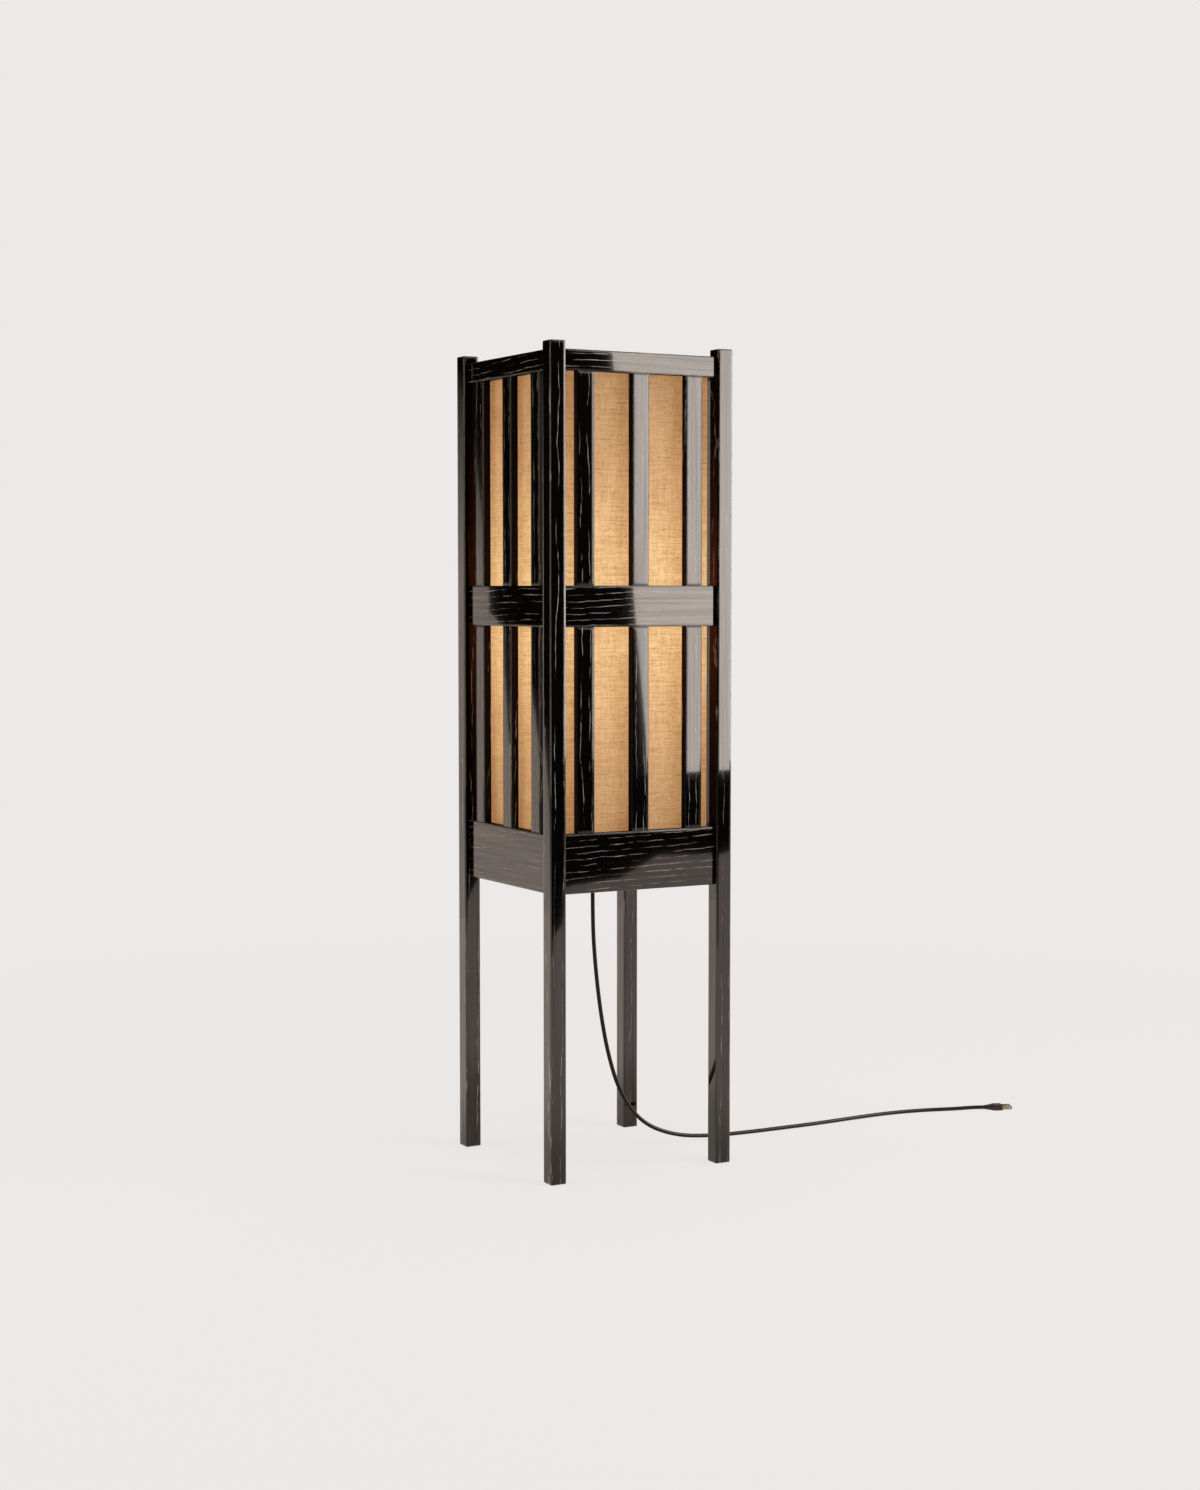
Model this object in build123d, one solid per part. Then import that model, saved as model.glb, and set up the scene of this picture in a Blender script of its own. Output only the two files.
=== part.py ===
from build123d import *
import os
from math import atan2, cos, pi, radians, sin, tan

# Andon floor lamp: a slatted wooden frame on four posts, with a linen shade that lifts out
# of its open top. Millimetres, +Z up, origin on the floor under the middle of the frame.
# The front is -Y and the right is +X. The cord leaves the underside and runs to the right.

# ---------------------------------------------------------------- wooden frame
frame_width = 306.0  # over the posts, both ways
lamp_height = 1219.0
post_width = 25.0
post_edge_radius = 2.0
post_end_radius = 1.5
member_thickness = 12.0  # rails, aprons and slats alike
member_recess = 7.5  # from a post's outer face back to the rails' faces
member_edge_radius = 1.0
top_rail_drop = 11.0  # the posts stand this far above the top rails
top_rail_height = 30.0
mid_rail_bottom = 810.0
mid_rail_height = 60.0
apron_bottom = 423.0
apron_height = 87.0
slat_width = 28.0
slat_pitch = 91.0
slats_per_side = 3

# ---------------------------------------------------------------- joinery
glue_gap = 0.1  # round every tenon and in every halving
mitre_gap = 0.4  # between two tenons that meet inside a post
rail_tenon_thickness = 5.0
rail_tenon_shoulder = 4.0  # above and below the tenon
slat_tenon_thickness = 5.0
slat_tenon_shoulder = 3.0  # at each side of the tenon
slat_tenon_length = 10.0

# ---------------------------------------------------------------- floor of the lantern
board_drop = 40.0  # from the aprons' top edges down to the board
board_thickness = 9.0
board_gap = 0.5
ledger_height = 15.0
ledger_thickness = 12.0
ledger_end_gap = 1.0
ledger_screw_spacing = 160.0
screw_length = 19.0
screw_head_radius = 3.8
screw_head_height = 2.4
screw_shank_radius = 1.9
screw_slot_width = 1.0
screw_slot_depth = 1.2
screw_fit = 0.08

# ---------------------------------------------------------------- lamp pipe
pipe_radius = 5.0
pipe_bore_radius = 3.7
pipe_length = 290.0
pipe_fit = 0.1
washer_radius = 13.0
washer_thickness = 1.5
nut_across_flats = 14.0
nut_height = 5.0
flange_radius = 28.0
flange_edge_height = 2.5
flange_thickness = 5.0
flange_bevel = 2.5
flange_boss_radius = 9.0
flange_boss_bevel = 3.0
flange_height = 16.0

# ---------------------------------------------------------------- cord and its fittings
cord_radius = 3.1
grip_across_flats = 17.0
grip_hex_height = 9.0
grip_body_height = 18.0
grip_engagement = 11.0
grip_body_radius = 8.0
grip_nose_radius = 6.4
grip_nose_height = 4.0
grip_bore_gap = 0.2
sleeve_length = 32.0
sleeve_top_radius = 5.6
sleeve_tip_radius = 3.8
sleeve_groove_count = 5
sleeve_groove_width = 1.6
sleeve_groove_depth = 0.9
plug_height = 9.5
plug_width = 20.0
plug_head_length = 14.0
plug_tail_length = 14.0
plug_tail_radius = 3.6
plug_tail_corner = 3.5
plug_corner_radius = 3.2
plug_neck_place = 8.0  # from the tail's end to its middle section
plug_neck_width = 12.5
plug_neck_height = 8.4
plug_end_radius = 1.2
blade_length = 16.0
blade_width = 6.35
blade_thickness = 1.5
blade_spacing = 12.7
blade_hole_radius = 1.5
blade_hole_inset = 4.0  # from the blade's tip
blade_tip_chamfer = 1.2
blade_root = 4.0  # held inside the plug

# ---------------------------------------------------------------- lampholder
holder_wall = 0.8
cap_boss_radius = 8.0
cap_boss_height = 8.0
cap_rim_radius = 18.0
cap_dome_height = 20.0  # up to where the dome meets its straight rim
cap_dome_radius = 14.0
cap_height = 26.0
shell_radius = 17.0
shell_height = 46.0
shell_bead = 0.8  # how far the bead and the flare stand out
shell_bead_height = 24.0
shell_bead_width = 2.0
shell_flare_height = 3.0
core_radius = 15.8
core_height = 20.0
core_neck_radius = 7.0
core_neck_length = 8.0
terminal_flat = 12.5  # from the axis to the flat that a terminal screw bears on
terminal_head_radius = 2.5
terminal_head_height = 1.8
terminal_shank_radius = 1.5
terminal_shank_length = 4.8
terminal_slot_width = 0.8
terminal_fit = 0.1
terminal_pocket_width = 9.0
socket_radius = 14.0
socket_wall = 0.4
socket_depth = 24.0
socket_floor_hole = 6.0
contact_radius = 2.4
contact_top_radius = 1.5
contact_rim_height = 1.6
contact_height = 2.6
knob_radius = 5.5
knob_length = 14.0
knob_gap = 2.5
knob_edge_radius = 1.2
knob_flutes = 8
knob_flute_radius = 1.0
knob_flute_start = 2.0  # beyond the knob's inner end
knob_stem_radius = 1.6
knob_stem_depth = 8.0
knob_stem_fit = 0.08
knob_stem_end_gap = 0.3
knob_hole_gap = 0.9

# ---------------------------------------------------------------- bulb
bulb_seat_gap = 0.3  # between the bulb's tip and the lampholder's contact
bulb_tip_radius = 3.4
bulb_tip_flat_radius = 2.0
bulb_tip_height = 1.6
bulb_insulator_foot_radius = 4.9
bulb_insulator_radius = 11.0
bulb_insulator_height = 4.0
bulb_thread_crest = 13.2
bulb_thread_root = 12.5
bulb_thread_pitch = 3.63
bulb_thread_turns = 5
bulb_base_wall = 0.5
bulb_collar = 1.0  # plain height below and above the thread
bulb_neck_radius = 13.6
bulb_neck_height = 6.0
bulb_globe_radius = 30.0
bulb_globe_centre = 49.0  # above the top of the screw base
bulb_glass = 1.0

# ---------------------------------------------------------------- shade
shade_gap = 1.5  # between the linen and the posts' inner faces
shade_seat_gap = 0.3
shade_top_drop = 8.0  # from the top rails' top edges down to the shade's rim
linen_thickness = 0.6
laminate_gap = 0.1
liner_thickness = 1.0
shade_corner_radius = 3.0
wire_radius = 2.0
wire_gap = 0.3
ring_corner_radius = 7.0
upright_radius = 1.5

# ---------------------------------------------------------------- places worked out from them
half_width = frame_width / 2
post_inner = half_width - post_width
member_front = half_width - member_recess
member_back = member_front - member_thickness
member_middle = (member_front + member_back) / 2
top_rail_top = lamp_height - top_rail_drop
top_rail_bottom = top_rail_top - top_rail_height
mid_rail_top = mid_rail_bottom + mid_rail_height
apron_top = apron_bottom + apron_height
slat_centres = [(i - (slats_per_side - 1) / 2) * slat_pitch for i in range(slats_per_side)]

board_top = apron_top - board_drop
board_bottom = board_top - board_thickness
washer_bottom = board_bottom - washer_thickness
nut_bottom = washer_bottom - nut_height
grip_bottom = nut_bottom - grip_body_height
sleeve_bottom = grip_bottom - sleeve_length
pipe_bottom = nut_bottom - grip_engagement
pipe_top = pipe_bottom + pipe_length
holder_bottom = pipe_top - cap_boss_height
core_bottom = holder_bottom + cap_dome_height + holder_wall
core_top = core_bottom + core_height
knob_level = core_bottom + core_height / 2
bulb_bottom = core_top + contact_height + bulb_seat_gap
bulb_base_height = 2 * bulb_collar + bulb_thread_turns * bulb_thread_pitch

sides = {"front": 0, "right": 90, "back": 180, "left": 270}
corners = {"front_right": 0, "back_right": 90, "back_left": 180, "front_left": 270}
over = 1.0  # how far a cut runs past the face it opens

# The cord's route: straight down from its sleeve, round a hanging bend, along the floor to
# the plug, which lies flat.
plug_axis_height = plug_height / 2
cord_route = [
    (0, 0, sleeve_bottom),
    (0, 0, 350),
    (4, -2, 285),
    (12, -3, 218),
    (25, -3, 152),
    (46, -3, 89.5),
    (85, -3, 38),
    (143, -4, 12.5),
    (207, -5, 4.6),
    (273, -6, cord_radius),
    (342, -7, cord_radius),
    (415, -7, cord_radius),
    (487, -2, cord_radius),
    (558, 0, cord_radius),
    (622, -10, cord_radius),
    (673, -27, cord_radius),
    (700, -38, plug_axis_height),
    (720, -47, plug_axis_height),
]


# ---------------------------------------------------------------- shared shapes
def block(x_range, y_range, z_range):
    """A box between two corners."""
    size = [high - low for low, high in (x_range, y_range, z_range)]
    middle = [(high + low) / 2 for low, high in (x_range, y_range, z_range)]
    return Pos(*middle) * Box(*size)


def turned(points, z=0.0):
    """A solid of revolution about +Z from an outline of (radius, height) points."""
    outline = Plane.XZ * make_face(Polyline(*points, close=True))
    return Pos(0, 0, z) * revolve(outline, Axis.Z)


def disc(radius, z_range, bore=0.0):
    """A round plate or tube about the Z axis."""
    low, high = z_range
    ring = Circle(radius) - Circle(bore) if bore else Circle(radius)
    return Pos(0, 0, low) * extrude(ring, high - low)


def hexagon(across_flats, z_range):
    """A hexagonal bar along Z with its corners turned down at both ends."""
    low, high = z_range
    bar = extrude(RegularPolygon(across_flats / 2, 6, major_radius=False), high - low)
    corner_radius = across_flats / 2 / cos(pi / 6)
    chamfer_height = (corner_radius - across_flats / 2) * tan(radians(30))
    top = high - low
    barrel = turned(
        [
            (0, 0),
            (across_flats / 2, 0),
            (corner_radius, chamfer_height),
            (corner_radius, top - chamfer_height),
            (across_flats / 2, top),
            (0, top),
        ]
    )
    return Pos(0, 0, low) * (bar & barrel)


def on_side(piece, side):
    """Moves a piece made for the front face round to another face."""
    return Rot(0, 0, sides[side]) * piece


def edge_cut(x_range, z_edge, up):
    """Eases a front edge of a member along X. up is +1 for a top edge and -1 for a lower one."""
    radius = member_edge_radius
    face_y = -member_front
    corner = Pos(face_y + (radius - over) / 2, z_edge + up * (over - radius) / 2)
    waste = corner * Rectangle(radius + over, radius + over)
    waste -= Pos(face_y + radius, z_edge - up * radius) * Circle(radius)
    low, high = x_range
    return Pos(low, 0, 0) * extrude(Plane.YZ * waste, high - low)


# ---------------------------------------------------------------- posts, rails and slats
def tenon_band():
    """The near and far faces of a rail tenon, as distances from the lamp's axis."""
    return (
        member_middle - rail_tenon_thickness / 2,
        member_middle + rail_tenon_thickness / 2,
    )


def post():
    """The front right post: eased edges, and three pairs of mortises that meet inside it."""
    stick = block((post_inner, half_width), (-half_width, -post_inner), (0, lamp_height))
    stick = fillet(stick.edges().filter_by(Axis.Z), post_edge_radius)
    ends = stick.faces().sort_by(Axis.Z)
    stick = fillet(ends[0].edges() + ends[-1].edges(), post_end_radius)
    near, far = tenon_band()
    for low, high in (
        (apron_bottom, apron_top),
        (mid_rail_bottom, mid_rail_top),
        (top_rail_bottom, top_rail_top),
    ):
        heights = (low + rail_tenon_shoulder - glue_gap, high - rail_tenon_shoulder + glue_gap)
        across = (near - glue_gap, far + glue_gap)
        inward = (post_inner - over, far + glue_gap)
        stick -= block(inward, (-across[1], -across[0]), heights)
        stick -= block(across, (-inward[1], -inward[0]), heights)
    return stick


def rail_tenon(low, high):
    """The right-hand tenon of a front rail. Its end is mitred against the next rail's tenon."""
    near, far = tenon_band()
    outline = Polyline(
        (post_inner, -far),
        (far - mitre_gap, -far),
        (near - mitre_gap, -near),
        (post_inner, -near),
        close=True,
    )
    height = high - low - 2 * rail_tenon_shoulder
    return Pos(0, 0, low + rail_tenon_shoulder) * extrude(make_face(outline), height)


def eased_runs(slatted):
    """The lengths of a rail's edge that are eased: all of it, or only between the slats."""
    stops = [-post_inner]
    if slatted:
        for centre in slat_centres:
            stops += [centre - slat_width / 2, centre + slat_width / 2]
    stops.append(post_inner)
    return list(zip(stops[::2], stops[1::2]))


def rail(low, high, slats_above, slats_below):
    """A front rail or apron with its two tenons. Flush slats interrupt the eased edges."""
    bar = block((-post_inner, post_inner), (-member_front, -member_back), (low, high))
    for run in eased_runs(slats_above):
        bar -= edge_cut(run, high, 1)
    for run in eased_runs(slats_below):
        bar -= edge_cut(run, low, -1)
    tenon = rail_tenon(low, high)
    return bar + tenon + mirror(tenon, Plane.YZ)


def slat_mortise(centre, shoulder, up):
    """A blind mortise for a slat's tenon, cut up (+1) or down (-1) from a rail's edge."""
    half_thickness = slat_tenon_thickness / 2 + glue_gap
    half_length = slat_width / 2 - slat_tenon_shoulder + glue_gap
    ends = sorted((shoulder - up * over, shoulder + up * (slat_tenon_length + glue_gap)))
    return block(
        (centre - half_length, centre + half_length),
        (-member_middle - half_thickness, -member_middle + half_thickness),
        ends,
    )


def top_rail():
    bar = rail(top_rail_bottom, top_rail_top, False, True)
    for centre in slat_centres:
        bar -= slat_mortise(centre, top_rail_bottom, 1)
    return bar


def mid_rail():
    """The mid rail, halved at the back so that each slat crosses behind its whole front face."""
    bar = rail(mid_rail_bottom, mid_rail_top, True, True)
    for centre in slat_centres:
        half_slot = slat_width / 2 + glue_gap
        bar -= block(
            (centre - half_slot, centre + half_slot),
            (-member_middle - glue_gap, -member_back + over),
            (mid_rail_bottom - over, mid_rail_top + over),
        )
    return bar


def apron():
    bar = rail(apron_bottom, apron_top, True, False)
    for centre in slat_centres:
        bar -= slat_mortise(centre, apron_top, -1)
    for x in (-ledger_screw_spacing / 2, ledger_screw_spacing / 2):
        bar -= ledger_screw_place(x) * screw_hole()
    return bar


def slat(centre):
    """A front slat: eased edges, a stub tenon at each end, halved at the front for the mid rail."""
    bar = block(
        (centre - slat_width / 2, centre + slat_width / 2),
        (-member_front, -member_back),
        (apron_top, top_rail_bottom),
    )
    bar = fillet(bar.edges().filter_by(Axis.Z), member_edge_radius)
    bar -= block(
        (centre - slat_width, centre + slat_width),
        (-member_front - over, -member_middle),
        (mid_rail_bottom - glue_gap, mid_rail_top + glue_gap),
    )
    half_length = slat_width / 2 - slat_tenon_shoulder
    bar += block(
        (centre - half_length, centre + half_length),
        (-member_middle, -member_middle + slat_tenon_thickness / 2),
        (apron_top - slat_tenon_length, top_rail_bottom + slat_tenon_length),
    )
    for low, high in (
        (apron_top - slat_tenon_length, apron_top),
        (top_rail_bottom, top_rail_bottom + slat_tenon_length),
    ):
        bar += block(
            (centre - half_length, centre + half_length),
            (-member_middle - slat_tenon_thickness / 2, -member_middle),
            (low, high),
        )
    return bar


# ---------------------------------------------------------------- ledgers, board and screws
def wood_screw():
    """A slotted countersunk screw, head upward at Z = 0."""
    body = turned(
        [
            (0, 0),
            (screw_head_radius, 0),
            (screw_shank_radius, -screw_head_height),
            (screw_shank_radius, -screw_length + screw_head_radius),
            (0, -screw_length),
        ]
    )
    reach = screw_head_radius + over
    return body - block(
        (-reach, reach),
        (-screw_slot_width / 2, screw_slot_width / 2),
        (-screw_slot_depth, over),
    )


def screw_hole():
    """The countersunk hole that the screw fits, with room all round."""
    head = screw_head_radius + screw_fit
    shank = screw_shank_radius + screw_fit
    return turned(
        [
            (0, over),
            (head, over),
            (head, -screw_fit),
            (shank, -screw_head_height - screw_fit),
            (shank, -screw_length - screw_fit),
            (0, -screw_length - screw_fit),
        ]
    )


def ledger_screw_place(x):
    """Where a screw goes through the front ledger into the front apron."""
    ledger_middle = board_bottom - ledger_height / 2
    return Pos(x, -member_back + ledger_thickness, ledger_middle) * Rot(-90, 0, 0)


def board_screw_place():
    """Where a screw goes through the board into the front ledger."""
    return Pos(0, -member_back + ledger_thickness / 2, board_top)


def ledger():
    """The front ledger, glued and screwed inside the apron to carry the board."""
    half_length = member_back - ledger_thickness - ledger_end_gap
    strip = block(
        (-half_length, half_length),
        (-member_back, -member_back + ledger_thickness),
        (board_bottom - ledger_height, board_bottom),
    )
    for x in (-ledger_screw_spacing / 2, ledger_screw_spacing / 2):
        strip -= ledger_screw_place(x) * screw_hole()
    return strip - board_screw_place() * screw_hole()


def base_board():
    """The board that closes the lantern: notched round the posts, bored for the lamp pipe."""
    reach = member_back - board_gap
    board = block((-reach, reach), (-reach, reach), (board_bottom, board_top))
    notch = post_inner - board_gap
    for turn in corners.values():
        board -= Rot(0, 0, turn) * block(
            (notch, reach + over),
            (-reach - over, -notch),
            (board_bottom - over, board_top + over),
        )
    for side in sides:
        board -= on_side(board_screw_place() * screw_hole(), side)
    bore = disc(pipe_radius + pipe_fit, (board_bottom - over, board_top + over))
    return board - bore


def wood_screws():
    """The twelve screws: two through each ledger and one down through the board into it."""
    screws = []
    for side in sides:
        for x in (-ledger_screw_spacing / 2, ledger_screw_spacing / 2):
            screws.append(on_side(ledger_screw_place(x) * wood_screw(), side))
        screws.append(on_side(board_screw_place() * wood_screw(), side))
    return Compound(children=screws)


# ---------------------------------------------------------------- lamp pipe
def lamp_pipe():
    return disc(pipe_radius, (pipe_bottom, pipe_top), pipe_bore_radius)


def pipe_flange():
    """The turned foot that the pipe screws through, standing on the board."""
    bore = pipe_radius + pipe_fit
    return turned(
        [
            (bore, 0),
            (flange_radius, 0),
            (flange_radius, flange_edge_height),
            (flange_radius - flange_bevel, flange_thickness),
            (flange_boss_radius + flange_boss_bevel, flange_thickness),
            (flange_boss_radius, flange_thickness + flange_boss_bevel),
            (flange_boss_radius, flange_height),
            (bore, flange_height),
        ],
        board_top,
    )


def pipe_washer():
    return disc(washer_radius, (washer_bottom, board_bottom), pipe_radius + pipe_fit)


def lock_nuts():
    """One nut under the board's washer and one jammed down on the flange."""
    nuts = []
    for low in (nut_bottom, board_top + flange_height):
        nut = hexagon(nut_across_flats, (low, low + nut_height))
        nut -= disc(pipe_radius + pipe_fit, (low - over, low + nut_height + over))
        nuts.append(nut)
    return Compound(children=nuts)


# ---------------------------------------------------------------- cord fittings and cord
def cord_grip():
    """The gland on the pipe's lower end: a hexagon to hold, and a rounded nose for the cord."""
    hex_bottom = nut_bottom - grip_hex_height
    collar = hexagon(grip_across_flats, (hex_bottom, nut_bottom))
    depth = hex_bottom - grip_bottom
    nose = turned(
        [
            (0, depth),
            (grip_body_radius, depth),
            (grip_body_radius, grip_nose_height),
            (grip_nose_radius, 0),
            (0, 0),
        ],
        grip_bottom,
    )
    gland = collar + nose
    gland -= disc(pipe_radius + pipe_fit, (pipe_bottom - pipe_fit, nut_bottom + over))
    return gland - disc(cord_radius + grip_bore_gap, (grip_bottom - over, nut_bottom))


def cord_sleeve():
    """The tapered rubber sleeve on the cord, grooved so that it bends evenly."""
    taper = (sleeve_top_radius - sleeve_tip_radius) / sleeve_length
    pitch = sleeve_length / (sleeve_groove_count + 1)
    outline = [(0, 0), (sleeve_tip_radius, 0)]
    for groove in range(1, sleeve_groove_count + 1):
        for z, depth in (
            (groove * pitch - sleeve_groove_width / 2, 0),
            (groove * pitch - sleeve_groove_width / 4, sleeve_groove_depth),
            (groove * pitch + sleeve_groove_width / 4, sleeve_groove_depth),
            (groove * pitch + sleeve_groove_width / 2, 0),
        ):
            outline.append((sleeve_tip_radius + taper * z - depth, z))
    outline += [(sleeve_top_radius, sleeve_length), (0, sleeve_length)]
    return turned(outline, sleeve_bottom)


def inner_lead():
    """The stretch of cord inside the grip and the pipe, up to the lampholder's core."""
    lead_top = core_bottom - core_neck_length
    return disc(cord_radius, (grip_bottom, lead_top))


def power_cord():
    """The free cord: straight runs joined by the largest tangent arcs that they allow."""
    points = [Vector(*point) for point in cord_route]
    runs = [(after - before) for before, after in zip(points, points[1:])]
    radii = []
    for before, after in zip(runs, runs[1:]):
        half_turn = radians(before.get_angle(after)) / 2
        radii.append(0.45 * min(before.length, after.length) / tan(half_turn))
    path = FilletPolyline(*points, radius=radii)
    section = Plane(origin=path @ 0, z_dir=path % 0) * Circle(cord_radius)
    cord = sweep(section, path=path)
    expected = pi * cord_radius**2 * path.length
    print("cord radii", [round(radius) for radius in radii])
    print("cord length", round(path.length, 1))
    print("cord volume against section times length", round(cord.volume / expected, 5))
    return cord


def plug_place():
    """The plug's own frame: its tail on the cord's end, its blades along +X, flat on the floor."""
    before, end = Vector(*cord_route[-2]), Vector(*cord_route[-1])
    return Location(Plane(origin=end, x_dir=end - before, z_dir=(0, 0, 1)))


def plug_outline(x, width, height, corner):
    """A rounded cross-section of the plug at a distance from its tail."""
    section = Plane(origin=(x, 0, 0), x_dir=(0, 1, 0), z_dir=(1, 0, 0))
    return section * RectangleRounded(width, height, corner)


def blade_blocks(clearance=0.0):
    """The two blades' outlines, or the slots that hold them."""
    root = plug_tail_length + plug_head_length - blade_root
    blades = []
    for side in (-1, 1):
        y = side * blade_spacing / 2
        half_thickness = blade_thickness / 2 + clearance
        half_width_z = blade_width / 2 + clearance
        tip = root + blade_root + blade_length
        blades.append(
            block(
                (root - clearance, tip),
                (y - half_thickness, y + half_thickness),
                (-half_width_z, half_width_z),
            )
        )
    return blades


def plug_body():
    """The moulded plug: a tail that swells from the cord to a flat, wide head."""
    tail_width = 2 * plug_tail_radius
    tail = loft(
        [
            plug_outline(0, tail_width, tail_width, plug_tail_corner),
            plug_outline(plug_neck_place, plug_neck_width, plug_neck_height, plug_corner_radius),
            plug_outline(plug_tail_length, plug_width, plug_height, plug_corner_radius),
        ]
    )
    head = extrude(
        plug_outline(plug_tail_length, plug_width, plug_height, plug_corner_radius),
        plug_head_length,
    )
    end_face = head.faces().sort_by(Axis.X)[-1]
    head = fillet(end_face.edges(), plug_end_radius)
    body = tail + head
    for slot in blade_blocks(glue_gap):
        body -= slot
    return plug_place() * body


def plug_blades():
    """Two flat parallel blades, each with a hole near its tip."""
    hole_x = plug_tail_length + plug_head_length + blade_length - blade_hole_inset
    blades = []
    for blade in blade_blocks():
        tip = blade.edges().filter_by(Axis.Y).sort_by(Axis.X)[-2:]
        blade = chamfer(tip, blade_tip_chamfer)
        hole = Pos(hole_x, 0, 0) * Rot(90, 0, 0) * Cylinder(blade_hole_radius, plug_width)
        blades.append(plug_place() * (blade - hole))
    return Compound(children=blades)


# ---------------------------------------------------------------- lampholder
def holder_cap():
    """The spun cap: a boss threaded on the pipe and a dome that opens into a rim."""
    wall = holder_wall
    bore = pipe_radius + pipe_fit
    outer_foot = (cap_boss_radius, cap_boss_height)
    outer_rim = (cap_rim_radius, cap_dome_height)
    inner_foot = (cap_boss_radius, cap_boss_height + wall)
    inner_rim = (cap_rim_radius - wall, cap_dome_height)
    outline = [
        Line((bore, 0), (cap_boss_radius, 0)),
        Line((cap_boss_radius, 0), outer_foot),
        RadiusArc(outer_foot, outer_rim, -cap_dome_radius),
        Line(outer_rim, (cap_rim_radius, cap_height)),
        Line((cap_rim_radius, cap_height), (cap_rim_radius - wall, cap_height)),
        Line((cap_rim_radius - wall, cap_height), inner_rim),
        RadiusArc(inner_rim, inner_foot, cap_dome_radius - wall),
        Line(inner_foot, (bore, cap_boss_height + wall)),
        Line((bore, cap_boss_height + wall), (bore, 0)),
    ]
    cap = revolve(Plane.XZ * make_face(outline), Axis.Z)
    return Pos(0, 0, holder_bottom) * cap


def holder_shell():
    """The brass barrel: beaded round the middle, flared at the mouth, with the knob's hole."""
    proud = shell_radius + shell_bead
    bead_top = shell_bead_height + shell_bead_width
    outer = [
        (shell_radius, 0),
        (shell_radius, shell_bead_height - shell_bead),
        (proud, shell_bead_height),
        (proud, bead_top),
        (shell_radius, bead_top + shell_bead),
        (shell_radius, shell_height - shell_flare_height),
        (proud, shell_height),
    ]
    inner = [(radius - holder_wall, z) for radius, z in reversed(outer)]
    barrel = turned(outer + inner, core_bottom)
    hole = Cylinder(knob_stem_radius + knob_hole_gap, shell_radius)
    return barrel - Pos(shell_radius, 0, knob_level) * Rot(0, 90, 0) * hole


def holder_core():
    """The moulded insulator inside the barrel, with flats for the terminals."""
    core = turned(
        [
            (0, -core_neck_length),
            (core_neck_radius, -core_neck_length),
            (core_neck_radius, 0),
            (core_radius, 0),
            (core_radius, core_height),
            (0, core_height),
        ],
        core_bottom,
    )
    for side in (-1, 1):
        pocket = sorted((side * terminal_flat, side * (core_radius + over)))
        half_pocket = terminal_pocket_width / 2
        heights = (knob_level - half_pocket, knob_level + half_pocket)
        core -= block((-half_pocket, half_pocket), pocket, heights)
        seat_depth = 2 * (terminal_shank_length + terminal_fit)
        seat = Cylinder(terminal_shank_radius + terminal_fit, seat_depth)
        core -= Pos(0, side * terminal_flat, knob_level) * Rot(90, 0, 0) * seat
    stem_length = core_radius + over - knob_stem_depth
    stem_hole = disc(knob_stem_radius + knob_stem_fit, (0, stem_length))
    return core - Pos(knob_stem_depth, 0, knob_level) * Rot(0, 90, 0) * stem_hole


def terminal_screws():
    """The two screws that clamp the lead's conductors."""
    screw = turned(
        [
            (0, -terminal_shank_length),
            (terminal_shank_radius, -terminal_shank_length),
            (terminal_shank_radius, 0),
            (terminal_head_radius, 0),
            (terminal_head_radius, terminal_head_height),
            (0, terminal_head_height),
        ]
    )
    reach = terminal_head_radius + over
    half_slot = terminal_slot_width / 2
    screw -= block((-reach, reach), (-half_slot, half_slot), (terminal_head_height / 2, reach))
    screws = []
    for turn in (0, 180):
        place = Rot(0, 0, turn) * Pos(0, -terminal_flat, knob_level) * Rot(90, 0, 0)
        screws.append(place * screw)
    return Compound(children=screws)


def screw_shell():
    """The brass cup that takes the bulb's screw base, open in the middle of its floor."""
    inner = socket_radius - socket_wall
    return turned(
        [
            (socket_floor_hole, 0),
            (socket_radius, 0),
            (socket_radius, socket_depth),
            (inner, socket_depth),
            (inner, socket_wall),
            (socket_floor_hole, socket_wall),
        ],
        core_top,
    )


def centre_contact():
    return turned(
        [
            (0, 0),
            (contact_radius, 0),
            (contact_radius, contact_rim_height),
            (contact_top_radius, contact_height),
            (0, contact_height),
        ],
        core_top,
    )


def switch_knob():
    """The fluted turn knob on its stem. It turns about the X axis at the knob's level."""
    grip_start = shell_radius + knob_gap
    knob = disc(knob_radius, (grip_start, grip_start + knob_length))
    outer_edge = knob.edges().sort_by(Axis.Z)[-1]
    knob = fillet(outer_edge, knob_edge_radius)
    for index in range(knob_flutes):
        angle = 2 * pi * index / knob_flutes
        flute_reach = (grip_start + knob_flute_start, grip_start + knob_length + over)
        flute = disc(knob_flute_radius, flute_reach)
        knob -= Pos(knob_radius * cos(angle), knob_radius * sin(angle), 0) * flute
    stem = disc(knob_stem_radius, (knob_stem_depth + knob_stem_end_gap, grip_start))
    return Pos(0, 0, knob_level) * Rot(0, 90, 0) * (knob + stem)


# ---------------------------------------------------------------- bulb
def bulb_contact():
    return turned(
        [
            (0, 0),
            (bulb_tip_flat_radius, 0),
            (bulb_tip_radius, bulb_tip_height / 2),
            (bulb_tip_radius, bulb_tip_height),
            (0, bulb_tip_height),
        ],
        bulb_bottom,
    )


def bulb_insulator():
    return turned(
        [
            (0, 0),
            (bulb_insulator_foot_radius, 0),
            (bulb_insulator_radius, bulb_insulator_height),
            (0, bulb_insulator_height),
        ],
        bulb_bottom + bulb_tip_height,
    )


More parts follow.
